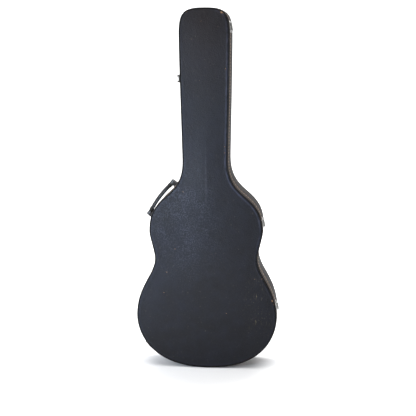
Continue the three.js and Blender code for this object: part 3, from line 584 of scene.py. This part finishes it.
# ---------------------------------------------------------------- stitches along the parting line
def capsule(centre, along, out, length, radius, sides=6):
    """One stitch: a short rounded thread that dips into the wall at both ends."""
    across = np.cross(along, out)
    pts = []
    for t, r in ((-0.5, 0.25), (-0.36, 0.85), (0.0, 1.0), (0.36, 0.85), (0.5, 0.25)):
        for k in range(sides):
            a = k / sides * 2 * math.pi
            pts.append(centre + along * t * length + (out * math.cos(a) + across * math.sin(a)) * radius * r
                       - out * (abs(t) ** 2) * radius * 2.2)
    return pts, band(5, sides) + ends(5, sides)


def stitches(name, y, body, pitch=9.0):
    verts, faces = [], []
    for side in (-1, 1):
        for s in np.arange(pitch / 2, TOTAL, pitch):
            s = s + rng.normal(0, 0.4)
            p, n = wall(s, 0.18)
            out = np.array([side * n[0], 0, n[1]])
            along = np.array([side * -n[1], 0, n[0]])
            c = np.array([side * p[0], y + rng.normal(0, 0.12), p[1]])
            v, f = capsule(c, along, out, 5.2 + rng.normal(0, 0.35), 0.55)
            faces += [tuple(i + len(verts) for i in q) for q in f]
            verts += v
    make(name, verts, faces, THREAD, body)


stitches("lid_edge_stitches", PARTING - 3.4, "lid")
stitches("body_edge_stitches", PARTING + 3.6, "shell")


# ---------------------------------------------------------------- lining
def pad(name, node, outside, inwards, body):
    """A foam pad under plush that fills the inside of a panel, with soft puckers along its edge."""
    start, thick = PANEL + 0.35, 5.4
    profile = [(WALL + 8, start), (WALL + 0.5, start), (WALL + 0.45, start + 1.5), (WALL + 0.9, start + 3.2),
               (WALL + 2.0, start + 4.4), (WALL + 3.8, start + 5.1), (WALL + 6.5, start + thick),
               (WALL + 10, start + thick), (WALL + 16, start + thick)]
    rings = [loop(u, outside + inwards * v) for u, v in profile]
    count = len(rings[0])
    verts = list(np.vstack(rings))
    faces = band(len(rings), count) + rows_across(verts, rings, 30)
    verts = np.array(verts)
    x, z = verts[:, 0], verts[:, 2]
    near = edge_distance(verts[:, [0, 2]])
    top = np.arange(len(verts)) >= 4 * count
    ripple = np.sin(x * 0.11 + 3 * np.sin(z * 0.012)) * np.sin(z * 0.083 + 2 * np.sin(x * 0.02))
    verts[:, 1] += inwards * top * (0.35 * ripple * smooth(near, 8, 30) - 0.5 * smooth(near, 8, 18))
    ob = make(name, verts, faces, PLUSH, body)
    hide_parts(node)


pad("lid_pad", "lid_lining", FRONT, 1, "lid")
pad("back_pad", "body_lining", BACK, -1, "shell")

REST = BACK - PAD_LEVEL - 0.3
RISE_TOP = PARTING - 9.0
for word, side in (("left", -1), ("right", 1)):
    section = [(WALL + 0.5, REST), (WALL + 0.5, PARTING + 2.2), (WALL + 1.1, PARTING + 1.2),
               (WALL + 1.1, RISE_TOP + 2.2)]
    for k in range(1, 8):
        a = k / 8 * math.pi
        section.append((WALL + 1.1 + 2.9 * (1 - math.cos(a)), RISE_TOP + 2.2 - 2.1 * math.sin(a)))
    section += [(LINED, RISE_TOP + 3), (LINED, PARTING + 3), (LINED - 0.4, PARTING + 5), (LINED, PARTING + 7),
                (LINED + 0.3, 10), (LINED, REST - 3), (LINED - 0.6, REST)]
    v, f = sweep(section, side)
    ob = make(f"side_pad_{word}", v, f, PLUSH, "shell")
    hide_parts(*[f"{part}_lining_{word}" for part in PARTS])

# Lining inside the lid's own wall, glued flat to it
for word, side in (("left", -1), ("right", 1)):
    section = [(WALL + 0.02, FRONT + PAD_LEVEL - 1.0), (WALL + 0.02, PARTING - 1.2),
               (WALL + 0.35, PARTING - 1.0), (WALL + 0.55, PARTING - 1.6),
               (WALL + 0.55, FRONT + PAD_LEVEL - 1.0)]
    v, f = sweep(section, side)
    make(f"lid_wall_lining_{word}", v, f, PLUSH, "lid")


# ---------------------------------------------------------------- rivets
def dome(centre, out, radius, height, sides=14):
    """A rivet head's points and faces."""
    out = np.asarray(out, float)
    ref = np.array([0, 1.0, 0]) if abs(out[1]) < 0.9 else np.array([1.0, 0, 0])
    a = np.cross(out, ref)
    a /= np.linalg.norm(a)
    b = np.cross(out, a)
    pts, faces = [], []
    rings = [(1.0, -0.1), (1.0, 0.12), (0.93, 0.42), (0.72, 0.75), (0.4, 0.95)]
    for r, h in rings:
        for k in range(sides):
            t = k / sides * 2 * math.pi
            pts.append(centre + (a * math.cos(t) + b * math.sin(t)) * radius * r + out * height * h)
    faces = band(len(rings), sides)
    pts.append(centre + out * height)
    tip = len(pts) - 1
    base = (len(rings) - 1) * sides
    faces += [(base + k, base + (k + 1) % sides, tip) for k in range(sides)]
    faces.append(tuple(range(sides))[::-1])
    return pts, faces


def rivets(name, places, mat, body, radius=2.2, height=1.1):
    """One mesh of rivet heads at (side, along, y, standoff) on the wall."""
    verts, faces = [], []
    for side, s, y, standoff in places:
        p, n = wall(s, standoff)
        v, f = dome(np.array([side * p[0], y, p[1]]), (side * n[0], 0, n[1]), radius, height)
        faces += [tuple(i + len(verts) for i in q) for q in f]
        verts += v
    make(name, verts, faces, mat, body)


HINGES = ((LENGTH - 54, 34), (UPPER_Z + 23, 30), (BOUT_Z + 32, 30))
TOP_OF_PLATE = 1.48
for word, (z, size) in zip(("head", "upper", "lower"), HINGES):
    mid = along_at(z)
    for leaf, body, way in (("back", "shell", 1), ("lid", "lid", -1)):
        places = [(1, mid + d * size * 0.34, PARTING + way * (12.6 + e), TOP_OF_PLATE)
                  for d, e in ((-1, 5), (1, 5), (0, -3))]
        rivets(f"hinge_{word}_rivets_{leaf}", places, CHROME, body)

LATCHES = (("neck", LENGTH - 200), ("lower", BOUT_Z - 92))
for word, z in LATCHES:
    mid = along_at(z)
    places = [(-1, mid + d * 8.6, PARTING - 16.6, TOP_OF_PLATE) for d in (-1, 1)]
    rivets(f"latch_{word}_rivets_lid", places, BRASS, "lid", 1.8, 0.9)
    places = [(-1, mid + d * 11.2, y, TOP_OF_PLATE) for d in (-1, 1) for y in (PARTING + 6, PARTING + 21)]
    rivets(f"latch_{word}_rivets_back", places, BRASS, "shell", 1.3, 0.8)


# ---------------------------------------------------------------- fittings carried over from the frame
def carry(node, mat, width=0.0, segments=2, angle=30):
    """Keeps a frame node's shape, with softened edges and a finish of its own."""
    ob = NODES[node]
    ob.data.materials.clear()
    ob.data.materials.append(mat)
    if width:
        bevelled(ob, width, segments, angle)
    for p in ob.data.polygons:
        p.use_smooth = True
    sharpen(ob, angle)


for name in NODES:
    if name.startswith("hinge_"):
        carry(name, CHROME, 0.25)
    elif name.startswith("latch_"):
        carry(name, LEVER if name.endswith("lever") else BRASS, 0.22)
    elif name.startswith(("handle_post", "handle_pin")):
        carry(name, CAPS, 0.7)
carry("compartment_pin", CHROME)
carry("neck_cradle", PLUSH, 2.6, segments=4)
carry("compartment_wall", PLUSH, 1.6, segments=3)
carry("compartment_lid", PLUSH, 0.7, segments=2)
carry("compartment_tab", TAB, 0.4)


# ---------------------------------------------------------------- handle
HANDLE_TOP, HANDLE_BOTTOM = UPPER_Z + 132, UPPER_Z + 37
POST_HALF, END_GAP = 6.5, 0.5
PIVOT, ARCH, DROOP = 14.5, 5.0, math.radians(20)
GRIP_END, GRIP_THICK, GRIP_WIDE, SQUARISH = 5.6, 4.4, 11.0, 0.62
RIB_DEPTH, RIB_PITCH = 0.28, 6.2


def handle():
    """The arched grip, which hangs towards the lid, and the metal sleeves on its ends."""
    top, bottom = wall(along_at(HANDLE_TOP))[0], wall(along_at(HANDLE_BOTTOM))[0]
    chord = top - bottom
    span = np.linalg.norm(chord)
    up = np.array([-chord[0], 0, chord[1]]) / span
    out = np.array([-chord[1], 0, -chord[0]]) / span
    back = np.array([0, 1.0, 0])
    middle = np.array([-(top + bottom)[0] / 2, 0, (top + bottom)[1] / 2])
    end = span / 2 - POST_HALF - END_GAP
    sides = 28

    def spot_on(lift, across, along):
        """A place on the grip: off the pivot, across the strap and along it."""
        return (middle + out * (PIVOT + lift * math.cos(DROOP) + across * math.sin(DROOP))
                + back * (across * math.cos(DROOP) - lift * math.sin(DROOP)) + up * along)

    def section(t, scale, extra, rib, along):
        """A squarish ring round the grip at the share t of its half length."""
        broad = float(smooth(1 - abs(t), 0.05, 0.36))
        thick = (GRIP_END + (GRIP_THICK - GRIP_END) * broad) * scale + extra
        wide = (GRIP_END + (GRIP_WIDE - GRIP_END) * broad) * scale + extra
        ring = []
        for k in range(sides):
            a = (k + 0.5) / sides * 2 * math.pi
            x = math.copysign(abs(math.cos(a)) ** SQUARISH, math.cos(a))
            y = math.copysign(abs(math.sin(a)) ** SQUARISH, math.sin(a))
            deep = thick - (rib if x < 0 else 0.0)
            ring.append(spot_on(ARCH * (1 - t * t) + deep * x, wide * y, along))
        return ring

    verts = []
    tips = [0.95, 0.98, 0.995, 1]
    stations = [-t for t in tips[::-1]] + list(np.linspace(-0.92, 0.92, 60)) + tips
    for t in stations:
        tip = 1 - 0.12 * float(smooth(abs(t), 0.95, 1.0))
        wave = 0.5 + 0.5 * math.cos(t * end * 2 * math.pi / RIB_PITCH)
        rib = RIB_DEPTH * wave * float(smooth(0.62 - abs(t), 0, 0.05))
        verts += section(t, tip, 0.0, rib, t * end)
    faces = band(len(stations), sides) + ends(len(stations), sides)
    grip = make("carry_grip", verts, faces, PLASTIC, "handle")
    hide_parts("handle_grip")
    # Metal sleeves over both ends of the grip
    for name, sign in (("grip_sleeve_upper", 1), ("grip_sleeve_lower", -1)):
        marks = (0.80, 0.805, 0.83, 0.96, 0.985, 0.99)
        stands = (0.25, 0.75, 0.9, 0.9, 0.75, 0.25)
        verts = []
        for t, extra in zip(marks, stands):
            verts += section(t, 1.0, extra, 0.0, sign * t * end)
        make(name, verts, band(len(marks), sides), CAPS, "handle")


handle()


# ---------------------------------------------------------------- stage
def stage():
    """A pale floor that curves up into a backdrop."""
    n = Nodes("studio_floor")
    mat = n.finish((0.86, 0.86, 0.86), 0.9, Specular_IOR_Level=0.1)
    rows = []
    for k in range(24):
        t = k / 23
        if t < 0.5:
            rows.append((-5.0 + t * 2 * 8.0, 0.0))
        else:
            a = (t - 0.5) * 2 * math.pi / 2
            rows.append((3.0 + 2.5 * math.sin(a), 2.5 - 2.5 * math.cos(a)))
    rows.append((5.5, 8.0))
    verts = [(x, y, z - 0.0005) for y, z in rows for x in (-9.0, 9.0)]
    faces = [(2 * k, 2 * k + 1, 2 * k + 3, 2 * k + 2) for k in range(len(rows) - 1)]
    me = bpy.data.meshes.new("studio_floor")
    me.from_pydata(verts, [], faces)
    me.polygons.foreach_set("use_smooth", [True] * len(faces))
    ob = bpy.data.objects.new("studio_floor", me)
    scene.collection.objects.link(ob)
    me.materials.append(mat)


stage()


# ---------------------------------------------------------------- lights
KEY_COLOUR = (0.72, 0.84, 1.0)


def lamp(name, kind, place, target, power, colour):
    """A light at a place, aimed at a target."""
    data = bpy.data.lights.new(name, kind)
    data.energy = power
    data.color = colour
    ob = bpy.data.objects.new(name, data)
    scene.collection.objects.link(ob)
    ob.location = place
    ob.rotation_euler = (Vector(target) - Vector(place)).to_track_quat("-Z", "Y").to_euler()
    return data


def area(name, place, target, size, power, colour=(1, 1, 1)):
    data = lamp(name, "AREA", place, target, power, colour)
    data.shape = "RECTANGLE"
    data.size, data.size_y = size


def spot(name, place, target, width, power):
    data = lamp(name, "SPOT", place, target, power, KEY_COLOUR)
    data.spot_size = math.radians(width)
    data.spot_blend = 1.0
    data.shadow_soft_size = 0.10


spot("key_light_upper", (-1.50, -1.8, 1.05), (-0.08, -0.06, 0.82), 17.5, 375)
spot("key_light_lower", (-1.50, -1.8, 0.75), (-0.24, -0.06, 0.38), 23, 440)
area("soft_light", (-1.7, -1.6, 1.7), (0, 0, 0.5), (1.4, 1.4), 21, (1.0, 0.98, 0.96))
area("fill_light", (2.6, -1.5, 1.3), (0, 0, 0.45), (1.2, 2.0), 14, (1.0, 0.97, 0.93))
area("top_light", (0.2, -0.3, 3.3), (0, -0.1, 0.0), (3.0, 2.4), 98)
area("backdrop_light", (0.0, 1.3, 2.9), (0, 3.6, 0.6), (4.0, 1.2), 260)
world = bpy.data.worlds.new("studio")
scene.world = world
world.use_nodes = True
world.node_tree.nodes["Background"].inputs[0].default_value = (0.94, 0.96, 1.0, 1)
world.node_tree.nodes["Background"].inputs[1].default_value = 0.38
scene.view_settings.view_transform = "Standard"

# ---------------------------------------------------------------- camera
AZ, EL, ROLL = math.radians(5.76), math.radians(10.82), math.radians(-0.43)
LENS, DISTANCE, LOOK_AT = 72.98654, 2.5476, (0.00165, 0, 0.48586)
back = Vector((math.sin(AZ) * math.cos(EL), -math.cos(AZ) * math.cos(EL), math.sin(EL)))
right = Vector((math.cos(AZ), math.sin(AZ), 0))
up = back.cross(right)
R = right * math.cos(ROLL) + up * math.sin(ROLL)
U = up * math.cos(ROLL) - right * math.sin(ROLL)
data = bpy.data.cameras.new("camera")
data.lens = LENS
data.sensor_width = 36
camera = bpy.data.objects.new("camera", data)
scene.collection.objects.link(camera)
place = Vector(LOOK_AT) + back * DISTANCE
camera.matrix_world = Matrix((
    (R.x, U.x, back.x, place.x), (R.y, U.y, back.y, place.y), (R.z, U.z, back.z, place.z), (0, 0, 0, 1)))
scene.camera = camera

bpy.context.view_layer.update()
